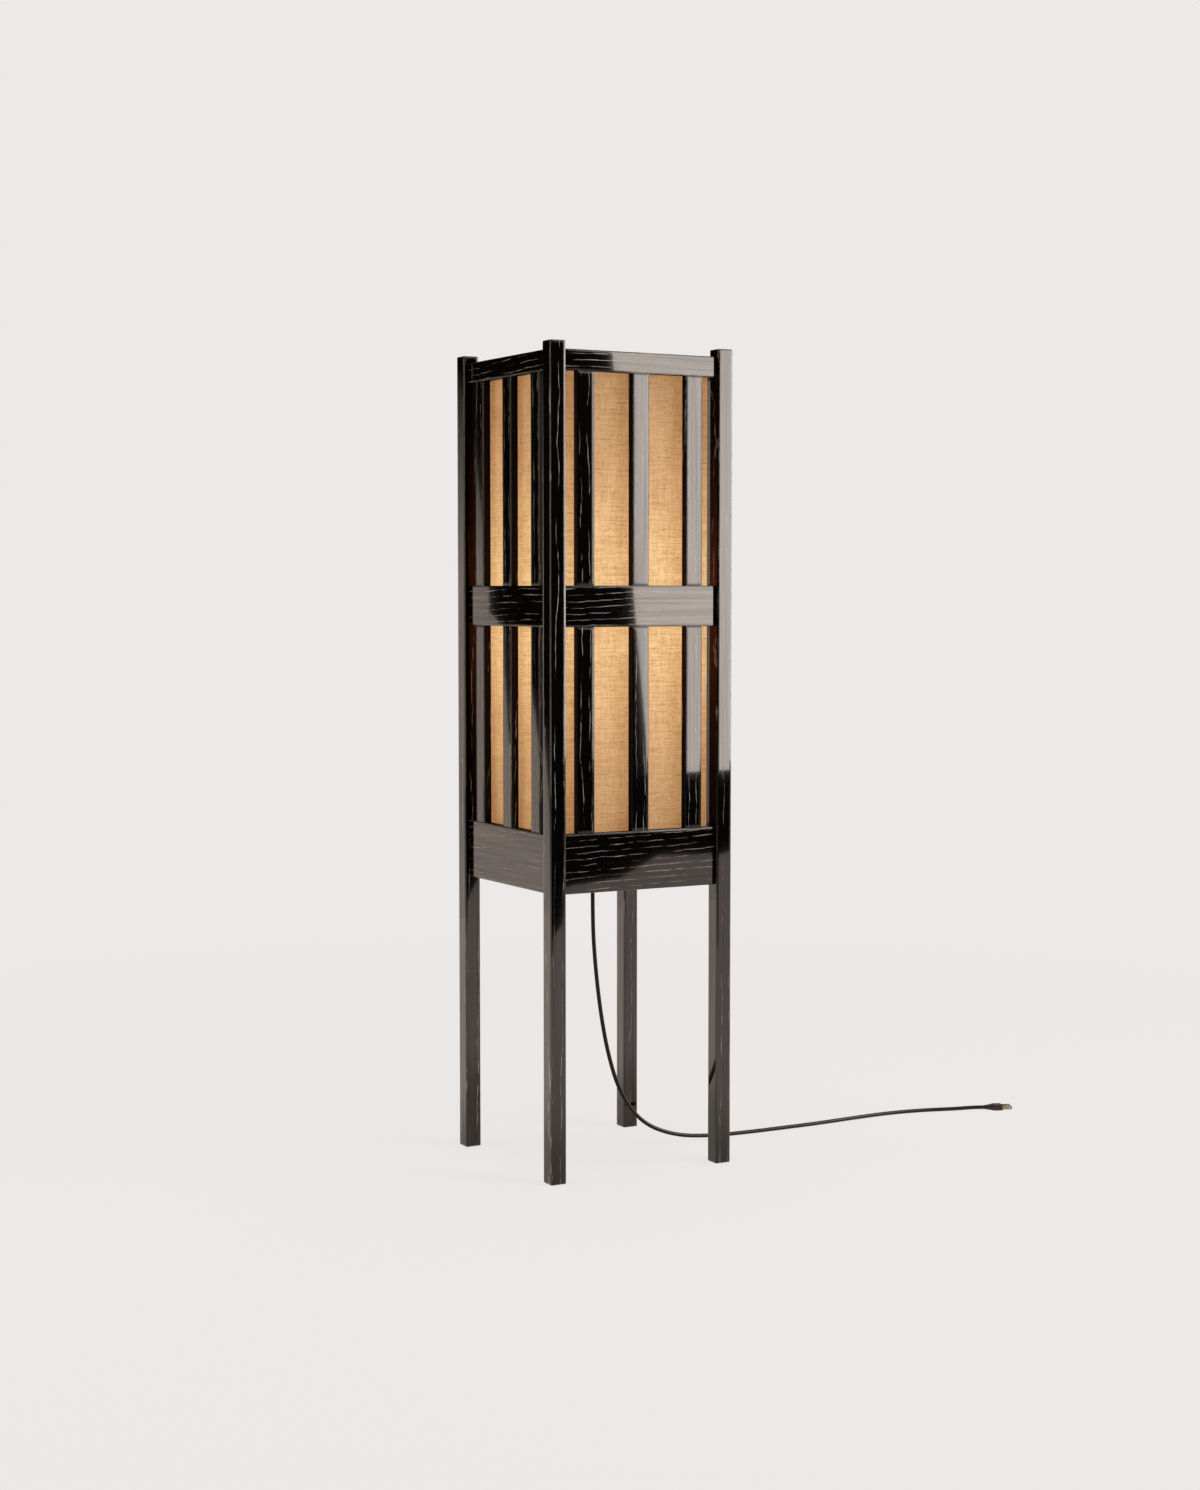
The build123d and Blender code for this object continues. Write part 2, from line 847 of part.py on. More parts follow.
def bulb_base():
    """The rolled brass base, its thread shown as rings with rounded crests."""
    cup_bottom = bulb_bottom + bulb_tip_height + bulb_insulator_height
    middle = (bulb_thread_crest + bulb_thread_root) / 2
    outline = [(0, 0), (bulb_insulator_radius, 0), (bulb_thread_root, bulb_collar)]
    for turn in range(bulb_thread_turns):
        for radius, share in (
            (middle, 0.2),
            (bulb_thread_crest, 0.4),
            (bulb_thread_crest, 0.6),
            (middle, 0.8),
            (bulb_thread_root, 1.0),
        ):
            outline.append((radius, bulb_collar + (turn + share) * bulb_thread_pitch))
    inner = bulb_thread_root - bulb_base_wall
    outline += [
        (bulb_thread_root, bulb_base_height),
        (inner, bulb_base_height),
        (inner, bulb_base_wall),
        (0, bulb_base_wall),
    ]
    return turned(outline, cup_bottom)


def globe_skin(inset):
    """The neck, flank and crown of the glass in section, set in from its outer face."""
    neck = bulb_neck_radius - inset
    globe = bulb_globe_radius - inset
    rise = bulb_globe_centre - bulb_neck_height
    flank_radius = (neck**2 + rise**2 - globe**2) / (2 * (globe - neck))
    slope = atan2(rise, neck + flank_radius)
    shoulder = (globe * cos(slope), bulb_globe_centre - globe * sin(slope))
    top = (0, bulb_globe_centre + globe)
    return [
        Line((neck, 0), (neck, bulb_neck_height)),
        RadiusArc((neck, bulb_neck_height), shoulder, flank_radius),
        ThreePointArc(shoulder, (globe, bulb_globe_centre), top),
    ]


def bulb_globe():
    """The frosted glass: a neck that swells to a round globe, open below into the base."""
    outer = globe_skin(0)
    inner = globe_skin(bulb_glass)
    foot = Line(outer[0] @ 0, inner[0] @ 0)
    top = Line(outer[-1] @ 1, inner[-1] @ 1)
    glass = revolve(Plane.XZ * make_face([*outer, top, *inner, foot]), Axis.Z)
    rim = bulb_bottom + bulb_tip_height + bulb_insulator_height + bulb_base_height
    return Pos(0, 0, rim) * glass


# ---------------------------------------------------------------- shade
linen_half = min(post_inner, member_back) - shade_gap
liner_half = linen_half - linen_thickness - laminate_gap
ring_half = liner_half - liner_thickness - wire_gap - wire_radius
shade_bottom = board_top + shade_seat_gap
shade_top = top_rail_top - shade_top_drop


def square_tube(half, thickness, z_range):
    """A thin square tube with rounded corners."""
    low, high = z_range
    outer = RectangleRounded(2 * half, 2 * half, shade_corner_radius)
    bore = 2 * (half - thickness)
    inner = RectangleRounded(bore, bore, shade_corner_radius - thickness)
    return Pos(0, 0, low) * extrude(outer - inner, high - low)


def linen_shade():
    return square_tube(linen_half, linen_thickness, (shade_bottom, shade_top))


def shade_liner():
    return square_tube(liner_half, liner_thickness, (shade_bottom, shade_top))


def shade_ring(z):
    """A square ring of round wire, bent at the corners."""
    path = RectangleRounded(2 * ring_half, 2 * ring_half, ring_corner_radius).wire()
    section = Plane(origin=path @ 0, z_dir=path % 0) * Circle(wire_radius)
    return Pos(0, 0, z) * sweep(section, path=path)


def shade_uprights():
    """The four corner wires between the rings."""
    corner = ring_half - ring_corner_radius * (1 - cos(pi / 4))
    wire = Pos(corner, corner, 0) * disc(
        upright_radius, (shade_bottom + 2 * wire_radius, shade_top - 2 * wire_radius)
    )
    return Compound(children=[Rot(0, 0, turn) * wire for turn in corners.values()])


# ---------------------------------------------------------------- assembly
def build_lamp():
    """Every piece of the lamp under its own name."""
    lamp = {}
    front_right_post = post()
    for corner, turn in corners.items():
        lamp[f"post_{corner}"] = Rot(0, 0, turn) * front_right_post
    members = {"top_rail": top_rail(), "mid_rail": mid_rail(), "apron": apron(), "ledger": ledger()}
    for number, centre in enumerate(slat_centres, start=1):
        members[f"slat_{number}"] = slat(centre)
    for side in sides:
        for name, member in members.items():
            lamp[f"{name}_{side}"] = on_side(member, side)
    lamp["base_board"] = base_board()
    lamp["wood_screws"] = wood_screws()
    lamp["lamp_pipe"] = lamp_pipe()
    lamp["pipe_flange"] = pipe_flange()
    lamp["pipe_washer"] = pipe_washer()
    lamp["lock_nuts"] = lock_nuts()
    lamp["cord_grip"] = cord_grip()
    lamp["cord_sleeve"] = cord_sleeve()
    lamp["inner_lead"] = inner_lead()
    lamp["power_cord"] = power_cord()
    lamp["plug_body"] = plug_body()
    lamp["plug_blades"] = plug_blades()
    lamp["holder_cap"] = holder_cap()
    lamp["holder_shell"] = holder_shell()
    lamp["holder_core"] = holder_core()
    lamp["terminal_screws"] = terminal_screws()
    lamp["screw_shell"] = screw_shell()
    lamp["centre_contact"] = centre_contact()
    lamp["switch_knob"] = switch_knob()
    lamp["bulb_contact"] = bulb_contact()
    lamp["bulb_insulator"] = bulb_insulator()
    lamp["bulb_base"] = bulb_base()
    lamp["bulb_globe"] = bulb_globe()
    lamp["shade_bottom_ring"] = shade_ring(shade_bottom + wire_radius)
    lamp["shade_top_ring"] = shade_ring(shade_top - wire_radius)
    lamp["shade_uprights"] = shade_uprights()
    lamp["shade_liner"] = shade_liner()
    lamp["linen_shade"] = linen_shade()
    return lamp


os.makedirs("parts", exist_ok=True)
for node, piece in build_lamp().items():
    export_step(piece, f"parts/{node}.step")
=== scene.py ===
import itertools
import math

import bpy
import bmesh
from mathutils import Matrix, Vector


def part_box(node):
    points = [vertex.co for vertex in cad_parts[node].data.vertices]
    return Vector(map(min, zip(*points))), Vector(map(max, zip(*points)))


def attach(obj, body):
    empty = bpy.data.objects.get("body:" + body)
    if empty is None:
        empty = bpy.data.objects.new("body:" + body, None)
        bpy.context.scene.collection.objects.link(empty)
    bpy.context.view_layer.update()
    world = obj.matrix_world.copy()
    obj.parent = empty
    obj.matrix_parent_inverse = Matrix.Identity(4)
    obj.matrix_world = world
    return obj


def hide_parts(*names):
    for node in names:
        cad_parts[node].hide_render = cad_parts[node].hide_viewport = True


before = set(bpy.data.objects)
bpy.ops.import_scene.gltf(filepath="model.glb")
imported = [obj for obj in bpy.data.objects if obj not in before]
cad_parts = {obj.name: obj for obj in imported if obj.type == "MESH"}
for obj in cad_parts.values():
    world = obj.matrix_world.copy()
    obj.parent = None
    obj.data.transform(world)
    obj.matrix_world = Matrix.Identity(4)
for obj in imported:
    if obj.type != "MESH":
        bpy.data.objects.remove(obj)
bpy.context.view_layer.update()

# ---------------------------------------------------------------- posts and slats
# Four square posts and twelve slats of open-grained oak, stained black and rubbed to a deep
# gloss over pores filled with pale wax. The grain runs up them. The posts carry the tenons of
# every rail, and the slats are crossed behind the middle rails.
CORNERS = ("front_right", "back_right", "back_left", "front_left")
SIDES = {"front": "Y", "right": "X", "back": "Y", "left": "X"}  # each side and the axis it faces along
OAK_BLACK = (0.0016, 0.0015, 0.0014, 1)
OAK_ROUGHNESS = 0.04
PORE_WAX = (0.33, 0.312, 0.295, 1)
WAX_ROUGHNESS = 0.35
WAVE_TURN = 20  # how many radians a wave texture of scale 1 turns in a metre
YEAR_LINE = 0.0011  # width of one year's band of pores
YEAR_BAND = ((0.25, 1), (0.75, 1), (1.0, 0))  # share of that width, and how full of pores it is
YEAR_WOBBLE = 2.2  # how far the year lines stray from true circles
YEAR_WANDER = 0.004  # how far a year's line strays to each side as it runs along
WANDER_WIDTH = 0.08  # size of one such stray, across the wood and along it
WANDER_LENGTH = 0.07
PORE_WIDTH = 0.0008
PORE_DEPTH = 0.0002
PORE_RELIEF = 0.4  # how much of that depth the wax leaves open
PORE_GAPS = (0.46, 0.56)  # levels of noise that break a line of pores into dashes
BARE_WIDTH = 0.009  # size of a patch of wood with hardly any pores
BARE_LENGTH = 0.08
BARE_GAPS = (0.38, 0.64)
LACQUER_ROUGHNESS = 0.018
SUNK_WIDTH = 0.0035  # size of a streak where the lacquer sank into the grain
SUNK_LENGTH = 0.22
SUNK_GAPS = (0.33, 0.6)
SUNK_COAT = 0.5  # share of the coat that is left in it
EASED_EDGE = 0.0044
SLAT_EASED_EDGE = 0.006
SLAT_EDGE_ROUGHNESS = 0.5
SLAT_EDGE_TURN = (0.3, 0.7)  # how squarely a face looks outward where the coat starts and is full


def put(inlet, value):
    """Gives a shader node's inlet a value, or joins it to another node's outlet."""
    if isinstance(value, bpy.types.NodeSocket):
        inlet.id_data.links.new(value, inlet)
    else:
        inlet.default_value = value


def fill(node, **inlets):
    """Fills a shader node's inlets by their names."""
    for name, value in inlets.items():
        put(node.inputs[name.replace("_", " ")], value)


def add(finish, kind, settings=None, **inlets):
    """A new shader node in a finish, with its settings and what goes into its inlets."""
    made = finish.node_tree.nodes.new("ShaderNode" + kind)
    for name, value in (settings or {}).items():
        setattr(made, name, value)
    fill(made, **inlets)
    return made


def combine(finish, kind, *values, **settings):
    """The first outlet of a new shader node whose inlets are filled in their order."""
    made = add(finish, kind, settings)
    for inlet, value in zip(made.inputs, values):
        put(inlet, value)
    return made.outputs[0]


def rescale(finish, value, start=0.0, end=1.0, low=0.0, high=1.0, **settings):
    """Turns a value's run from start to end into a run from low to high."""
    made = add(
        finish,
        "MapRange",
        settings,
        Value=value,
        From_Min=start,
        From_Max=end,
        To_Min=low,
        To_Max=high,
    )
    return made.outputs["Result"]


def between(finish, share, first, second):
    """A colour that goes from the first to the second as its share goes from 0 to 1."""
    return add(finish, "Mix", {"data_type": "RGBA"}, Factor=share, A=first, B=second).outputs["Result"]


def patches(finish, where, sizes, detail=1.0, grain=0.5, shift=(0, 0, 0)):
    """The node of a cloudy noise whose patches have a size, in metres, on x, y and z."""
    lie = add(finish, "Mapping", Vector=where, Scale=[1 / size for size in sizes], Location=shift)
    return add(
        finish,
        "TexNoise",
        Vector=lie.outputs["Vector"],
        Scale=1.0,
        Detail=detail,
        Roughness=grain,
    )


def stretched(across, length, along):
    """A size on x, y and z that is drawn out along one axis."""
    return [length if axis == along else across for axis in "XYZ"]


def blank_finish(name, colour, roughness, metal=0.0):
    """A finish of one even colour for its own nodes to work over, and its main shader."""
    finish = bpy.data.materials.new(name)
    finish.use_nodes = True
    face = finish.node_tree.nodes["Principled BSDF"]
    fill(face, Base_Color=colour, Roughness=roughness, Metallic=metal)
    return finish, face


def dress(node, finish):
    """Gives a solid of the frame its finish."""
    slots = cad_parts[node].data.materials
    slots.clear()
    slots.append(finish)


def year_rings(finish, wood, along, years, wobble, detail, coarseness):
    """Rings round an axis of the wood, which rise over each year's growth and start again."""
    rings = add(
        finish,
        "TexWave",
        {"wave_type": "RINGS", "rings_direction": along, "wave_profile": "SAW"},
        Vector=wood,
        Scale=2 * math.pi / (WAVE_TURN * years),
        Distortion=wobble,
        Detail=detail,
        Detail_Scale=coarseness,
    )
    return rings.outputs["Fac"]


def oak_pores(finish, where, along, years, pith, slope, dash):
    """How full of wax the wood is: dashes along the grain, in a narrow band for each year."""
    wander = stretched(WANDER_WIDTH, WANDER_LENGTH, along)
    sway = patches(finish, where, wander, detail=2.0, shift=pith)
    stray = combine(
        finish,
        "VectorMath",
        sway.outputs["Color"],
        stretched(2 * YEAR_WANDER, 0.0, along),
        where,
        operation="MULTIPLY_ADD",
    )
    wood = add(finish, "Mapping", Vector=stray, Location=pith, Rotation=slope).outputs["Vector"]
    band = add(
        finish,
        "ValToRGB",
        Fac=year_rings(finish, wood, along, years, YEAR_WOBBLE, detail=3.0, coarseness=0.5),
    )
    stops = band.color_ramp.elements
    stops.remove(stops[1])
    for place, level in YEAR_BAND:
        stops.new(place * YEAR_LINE / years).color = (level, level, level, 1)
    pores = band.outputs["Color"]
    for width, length, gaps in ((PORE_WIDTH, dash, PORE_GAPS), (BARE_WIDTH, BARE_LENGTH, BARE_GAPS)):
        cloud = patches(finish, where, stretched(width, length, along), shift=pith)
        kept = rescale(finish, cloud.outputs["Fac"], *gaps)
        pores = combine(finish, "Math", pores, kept, operation="MULTIPLY")
    return pores


def ebonised_oak(name, along, years, pith, slope, dash, shown=None):
    """Black oak under gloss lacquer, its grain along one axis and its years round a pith.

    A year's growth and a dash, which is a line of pores, have their real size, and the pith
    leans by a slope. A slat is lacquered only on the faces across its shown axis, and its
    edges stay satin.
    """
    finish, face = blank_finish(name, OAK_BLACK, OAK_ROUGHNESS)
    ground = add(finish, "TexCoord")
    where = ground.outputs["Object"]
    wax = oak_pores(finish, where, along, years, pith, slope, dash)
    rough = rescale(finish, wax, low=OAK_ROUGHNESS, high=WAX_ROUGHNESS)
    streak = stretched(SUNK_WIDTH, SUNK_LENGTH, along)
    sunk = patches(finish, where, streak, detail=3.0, grain=0.6, shift=pith)
    coat = rescale(finish, sunk.outputs["Fac"], *SUNK_GAPS, low=SUNK_COAT)
    round_over = EASED_EDGE
    if shown:
        round_over = SLAT_EASED_EDGE
        outward = add(finish, "SeparateXYZ", Vector=ground.outputs["Normal"]).outputs[shown]
        facing = combine(finish, "Math", outward, operation="ABSOLUTE")
        coated = rescale(finish, facing, *SLAT_EDGE_TURN)
        coat = combine(finish, "Math", coated, coat, operation="MULTIPLY")
        satin = rescale(finish, facing, *SLAT_EDGE_TURN, low=SLAT_EDGE_ROUGHNESS, high=0.0)
        rough = combine(finish, "Math", rough, satin, operation="MAXIMUM")
    eased = add(finish, "Bevel", {"samples": 4}, Radius=round_over).outputs["Normal"]
    dent = add(
        finish,
        "Bump",
        {"invert": True},
        Strength=PORE_RELIEF,
        Distance=PORE_DEPTH,
        Height=wax,
        Normal=eased,
    )
    fill(
        face,
        Base_Color=between(finish, wax, OAK_BLACK, PORE_WAX),
        Roughness=rough,
        Normal=dent.outputs["Normal"],
        Coat_Weight=coat,
        Coat_Roughness=LACQUER_ROUGHNESS,
        Coat_Normal=eased,
    )
    return finish


post_oak = ebonised_oak(
    "ebonised_oak_upright",
    along="Z",
    years=0.014,
    pith=(0.58, 0.27, 0.13),
    slope=(0.012, -0.008, 0.0),
    dash=0.024,
)
for corner in CORNERS:
    dress(f"post_{corner}", post_oak)
slat_oak = {
    "Y": ebonised_oak(
        "ebonised_oak_slat_front",
        along="Z",
        years=0.012,
        pith=(0.5, 0.34, 0.2),
        slope=(0.01, 0.012, 0.0),
        dash=0.017,
        shown="Y",
    ),
    "X": ebonised_oak(
        "ebonised_oak_slat_side",
        along="Z",
        years=0.012,
        pith=(0.36, 0.52, 0.16),
        slope=(0.014, 0.01, 0.0),
        dash=0.017,
        shown="X",
    ),
}
for side, facing in SIDES.items():
    for number in (1, 2, 3):
        dress(f"slat_{number}_{side}", slat_oak[facing])

# ---------------------------------------------------------------- rails and aprons
# Top rails, middle rails and deep aprons of the same oak, tenoned between the posts with the
# grain running across the lamp.
rail_oak = {
    "Y": ebonised_oak(
        "ebonised_oak_cross",
        along="X",
        years=0.009,
        pith=(0.2, 0.33, 0.41),
        slope=(0.0, 0.03, 0.0),
        dash=0.028,
    ),
    "X": ebonised_oak(
        "ebonised_oak_deep",
        along="Y",
        years=0.009,
        pith=(0.37, 0.1, 0.29),
        slope=(0.03, 0.0, 0.0),
        dash=0.028,
    ),
}
for side, facing in SIDES.items():
    for rail in ("top_rail", "mid_rail", "apron"):
        dress(f"{rail}_{side}", rail_oak[facing])

# ---------------------------------------------------------------- ledgers
# Plain unstained pine strips, screwed inside the aprons to carry the board. Out of sight
# unless the lamp is turned over.
PINE_PALE = (0.56, 0.37, 0.2, 1)
PINE_LINE = (0.36, 0.2, 0.09, 1)
PINE_ROUGHNESS = 0.55
PINE_YEAR = 0.004
PINE_WOBBLE = 3.0
PINE_STRETCH = 0.04  # how slowly its year lines change along it
PINE_PITH = (0.11, 0.07, 0.2)
PINE_RELIEF = 0.0002


def planed_pine(name, along):
    """Bare planed pine with soft year lines along one axis."""
    finish, face = blank_finish(name, PINE_PALE, PINE_ROUGHNESS)
    where = add(finish, "TexCoord").outputs["Object"]
    wood = add(
        finish,
        "Mapping",
        Vector=where,
        Scale=stretched(1.0, PINE_STRETCH, along),
        Location=PINE_PITH,
    )
    rings = year_rings(
        finish,
        wood.outputs["Vector"],
        along,
        PINE_YEAR,
        PINE_WOBBLE,
        detail=2.0,
        coarseness=0.8,
    )
    dent = add(finish, "Bump", Strength=0.3, Distance=PINE_RELIEF, Height=rings)
    fill(
        face,
        Base_Color=between(finish, rings, PINE_PALE, PINE_LINE),
        Normal=dent.outputs["Normal"],
    )
    return finish


ledger_pine = {"Y": planed_pine("plain_pine_cross", "X"), "X": planed_pine("plain_pine_deep", "Y")}
for side, facing in SIDES.items():
    dress(f"ledger_{side}", ledger_pine[facing])

# ---------------------------------------------------------------- board and screws
# A board of thin plywood painted matt black, screwed down to the ledgers, with a hole for
# the lamp pipe. The steel wood screws have slotted heads.
BOARD_BLACK = ((0.008, 0.008, 0.008, 1), (0.012, 0.0115, 0.011, 1))  # its darker and paler tone
SCREW_STEEL = ((0.32, 0.31, 0.3, 1), (0.5, 0.48, 0.45, 1))


def mottled(name, tones, roughness, patch, metal=0.0, dent=0.0, spread=0.1):
    """A finish that drifts between a darker and a paler tone in patches of a given size.

    Its roughness drifts with them by a spread to each side, and its surface dips by a dent.
    """
    finish, face = blank_finish(name, tones[1], roughness, metal)
    where = add(finish, "TexCoord").outputs["Object"]
    noise = add(finish, "TexNoise", Vector=where, Scale=1 / patch, Detail=4.0, Roughness=0.55)
    cloud = noise.outputs["Fac"]
    fill(
        face,
        Base_Color=between(finish, cloud, *tones),
        Roughness=rescale(finish, cloud, low=roughness - spread, high=roughness + spread),
    )
    if dent:
        grain = add(finish, "Bump", Strength=0.5, Distance=dent, Height=cloud)
        fill(face, Normal=grain.outputs["Normal"])
    return finish


dress("base_board", mottled("matt_black_board", BOARD_BLACK, roughness=0.6, patch=0.004, dent=0.0001))
dress("wood_screws", mottled("zinc_screws", SCREW_STEEL, roughness=0.35, patch=0.0015, metal=1.0))

# ---------------------------------------------------------------- lamp pipe and its fittings
# A threaded steel pipe stands on the board between a turned flange above and a washer and
# lock nuts below, and carries the lampholder.
ZINC_PLATE = ((0.42, 0.41, 0.38, 1), (0.6, 0.59, 0.56, 1))
IRON_BLACK = ((0.01, 0.01, 0.01, 1), (0.022, 0.021, 0.02, 1))

zinc_plate = mottled("zinc_plated_pipe", ZINC_PLATE, roughness=0.42, patch=0.006, metal=0.6)
for part in ("lamp_pipe", "pipe_washer", "lock_nuts"):
    dress(part, zinc_plate)
iron_enamel = mottled("black_iron_enamel", IRON_BLACK, roughness=0.4, patch=0.0012, dent=0.00015)
dress("pipe_flange", iron_enamel)

# ---------------------------------------------------------------- cord grip and sleeve
# The cord leaves through a black nylon grip screwed on the pipe's foot and a soft tapered
# rubber sleeve, grooved so that it bends evenly.
NYLON_BLACK = ((0.012, 0.012, 0.012, 1), (0.02, 0.02, 0.02, 1))
RUBBER_BLACK = ((0.008, 0.008, 0.008, 1), (0.016, 0.016, 0.016, 1))

dress("cord_grip", mottled("black_nylon", NYLON_BLACK, roughness=0.45, patch=0.002, dent=0.00008))
dress("cord_sleeve", mottled("sleeve_rubber", RUBBER_BLACK, roughness=0.6, patch=0.0015, dent=0.0001))

# ---------------------------------------------------------------- lampholder
# Cap and shell of spun brass with a thin lacquer, over a moulded core that carries the screw
# shell, the sprung centre contact and two terminal screws.
SPUN_BRASS = ((0.5, 0.32, 0.13, 1), (0.72, 0.48, 0.2, 1))
CONTACT_BRASS = ((0.55, 0.36, 0.15, 1), (0.78, 0.55, 0.26, 1))
CORE_BROWN = ((0.016, 0.009, 0.006, 1), (0.035, 0.02, 0.013, 1))


def face_of(finish):
    """The shader that carries a finish's colour, coat and light."""
    return finish.node_tree.nodes["Principled BSDF"]


spun_brass = mottled("spun_brass", SPUN_BRASS, roughness=0.28, patch=0.008, metal=1.0, spread=0.08)
fill(face_of(spun_brass), Coat_Weight=0.5, Coat_Roughness=0.1)
for part in ("holder_cap", "holder_shell"):
    dress(part, spun_brass)
contact_brass = mottled("contact_brass", CONTACT_BRASS, roughness=0.3, patch=0.003, metal=1.0)
for part in ("screw_shell", "centre_contact", "terminal_screws"):
    dress(part, contact_brass)
dress("holder_core", mottled("brown_phenolic", CORE_BROWN, roughness=0.3, patch=0.003))

# ---------------------------------------------------------------- switch knob
# A small fluted knob of moulded black plastic, with a stem that turns the switch through the
# side of the lampholder.
KNOB_BLACK = ((0.01, 0.01, 0.01, 1), (0.018, 0.017, 0.016, 1))

dress("switch_knob", mottled("knob_plastic", KNOB_BLACK, roughness=0.25, patch=0.0015, dent=0.00003))

# ---------------------------------------------------------------- bulb
# A frosted globe with a rolled metal screw base, a black glass insulator and a tip of solder.
# It is lit, and is brightest at its middle.
GLOBE_WHITE = ((0.85, 0.78, 0.66, 1), (0.95, 0.9, 0.8, 1))
GLOBE_GLOW = (1.0, 0.78, 0.48, 1)
GLOBE_LIGHT = 1.25
GLOBE_RIM_LIGHT = 0.6
BASE_METAL = ((0.5, 0.49, 0.47, 1), (0.75, 0.74, 0.71, 1))
BLACK_GLASS = ((0.006, 0.006, 0.008, 1), (0.014, 0.014, 0.018, 1))
SOLDER = ((0.35, 0.35, 0.36, 1), (0.6, 0.6, 0.6, 1))

frosted_glass = mottled("frosted_glass", GLOBE_WHITE, roughness=0.5, patch=0.002)
rim = add(frosted_glass, "LayerWeight", Blend=0.35).outputs["Facing"]
fill(
    face_of(frosted_glass),
    Emission_Color=GLOBE_GLOW,
    Emission_Strength=rescale(frosted_glass, rim, low=GLOBE_LIGHT, high=GLOBE_RIM_LIGHT),
)
dress("bulb_globe", frosted_glass)
dress("bulb_base", mottled("rolled_bulb_base", BASE_METAL, roughness=0.25, patch=0.004, metal=1.0))
dress("bulb_insulator", mottled("black_bulb_glass", BLACK_GLASS, roughness=0.12, patch=0.003))
dress("bulb_contact", mottled("bulb_solder", SOLDER, roughness=0.4, patch=0.001, metal=1.0))

# ---------------------------------------------------------------- shade frame
# Two square rings of bright wire joined by four corner wires, spot welded. The shade is
# lifted out through the top to change the bulb.
WIRE_STEEL = ((0.4, 0.39, 0.37, 1), (0.62, 0.61, 0.58, 1))

shade_wire = mottled("shade_wire", WIRE_STEEL, roughness=0.3, patch=0.005, metal=1.0)
for part in ("shade_bottom_ring", "shade_top_ring", "shade_uprights"):
    dress(part, shade_wire)

# ---------------------------------------------------------------- shade backing
# Translucent laminate sheet, bent round the wire frame, which keeps the linen flat. The
# bulb's light through it is painted on as a glow, most at the bulb's own height.
BULB_HEIGHT = 0.836  # of the brightest part of its globe, over the floor
LAMINATE_CREAM = ((0.62, 0.52, 0.38, 1), (0.74, 0.64, 0.48, 1))
LAMINATE_FAR = (1.0, 0.24, 0.04, 1)  # colours of the painted glow far from the bulb and beside it
LAMINATE_NEAR = (1.0, 0.62, 0.275, 1)
# painted glow, standing in for the bulb's light through it, at its brightest and least
LAMINATE_LIGHT = 0.95
LAMINATE_LEAST_LIGHT = 0.05
LAMINATE_REACH = 0.18  # how far up or down its painted glow falls by half


def nearness_to_bulb(finish, reach):
    """How near the bulb a point of the shade is: 1 beside it, a half at its reach, then less.

    It goes by height over the floor, so a shade that is lifted leaves the painted glow behind.
    """
    place = add(finish, "NewGeometry").outputs["Position"]
    height = add(finish, "SeparateXYZ", Vector=place).outputs["Z"]
    away = rescale(
        finish,
        height,
        low=-BULB_HEIGHT / reach,
        high=(1 - BULB_HEIGHT) / reach,
        clamp=False,
    )
    spread = combine(finish, "Math", away, away, 1.0, operation="MULTIPLY_ADD")
    return combine(finish, "Math", 1.0, spread, operation="DIVIDE")


laminate = mottled("shade_laminate", LAMINATE_CREAM, roughness=0.5, patch=0.01)
near = nearness_to_bulb(laminate, LAMINATE_REACH)
# painted glow: the laminate gives off the bulb's light itself, by its height
fill(
    face_of(laminate),
    Emission_Color=between(laminate, near, LAMINATE_FAR, LAMINATE_NEAR),
    Emission_Strength=rescale(laminate, near, low=LAMINATE_LEAST_LIGHT, high=LAMINATE_LIGHT),
)
dress("shade_liner", laminate)

# ---------------------------------------------------------------- linen
# One width of natural slubby linen, stretched and glued round the backing. It is lapped at the
# back right corner and turned over both wire rings, with notches at the corner wires. The bulb's
# light through it is painted on as a glow, which thicker threads and doubled edges dim, and
# polished wood is shown a darker painted reflection of it.
shade_low, shade_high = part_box("linen_shade")
LINEN_EDGE = 0.0001  # how far the cloth's edges stop inside the shade's height
LINEN_LOW = shade_low.z + LINEN_EDGE
LINEN_HIGH = shade_high.z - LINEN_EDGE
LINEN_OUT = shade_high.x  # from the lamp's axis to the cloth's outer face
LINEN_THICK = 0.0005
LINEN_CORNER = 0.003  # radius of a bent corner
LINEN_HEM = 0.011  # how far the turned edges hang down inside the rings
RING_INSIDE = 0.1197  # from the lamp's axis to the cloth inside the wire rings
TURNED_IN = LINEN_OUT - RING_INSIDE
FOLD = (  # how far in from the cloth's face and up from its edge a turned edge runs
    (0.0022, 0.0006),
    (0.005, 0.0006),
    (TURNED_IN, -0.001),
    (TURNED_IN, -LINEN_HEM),
)
NOTCH = 0.006  # how far short of a corner wire a turned edge stops
LINEN_LAP = 0.012
LAP_PROUD = 0.0006  # how far the lapped end stands out over the cloth under it
LAP_PROFILE = (  # how far round from the corner a point lies, and what share of that it stands out
    (LINEN_LAP + 0.0004, 0.3),
    (LINEN_LAP, 1.0),
    (0.002, 1.0),
    (0.0, 0.2),
)
CORNER_POINTS = 6  # in the mesh, round one bent corner
SIDE_PARTS = 24
ROWS = 56
LINEN_PALE = (0.175, 0.155, 0.1, 1)
LINEN_THREAD = (0.085, 0.045, 0.013, 1)
LINEN_MIRRORED = (0.05, 0.02, 0.006, 1)  # painted reflection: its colour as the black lacquer mirrors it
LINEN_ROUGHNESS = 0.85
LINEN_SHEEN = 0.1
LINEN_RELIEF = 0.0002
LINEN_LIGHT = 0.79  # the brightest painted glow, standing in for the light through it
LINEN_LEAST = 0.2  # share of that painted glow that is left far from the bulb
LINEN_REACH = 0.25  # how far up or down its painted glow falls by half
DOUBLED_LIGHT = 0.6  # share of the painted glow given where the cloth is doubled
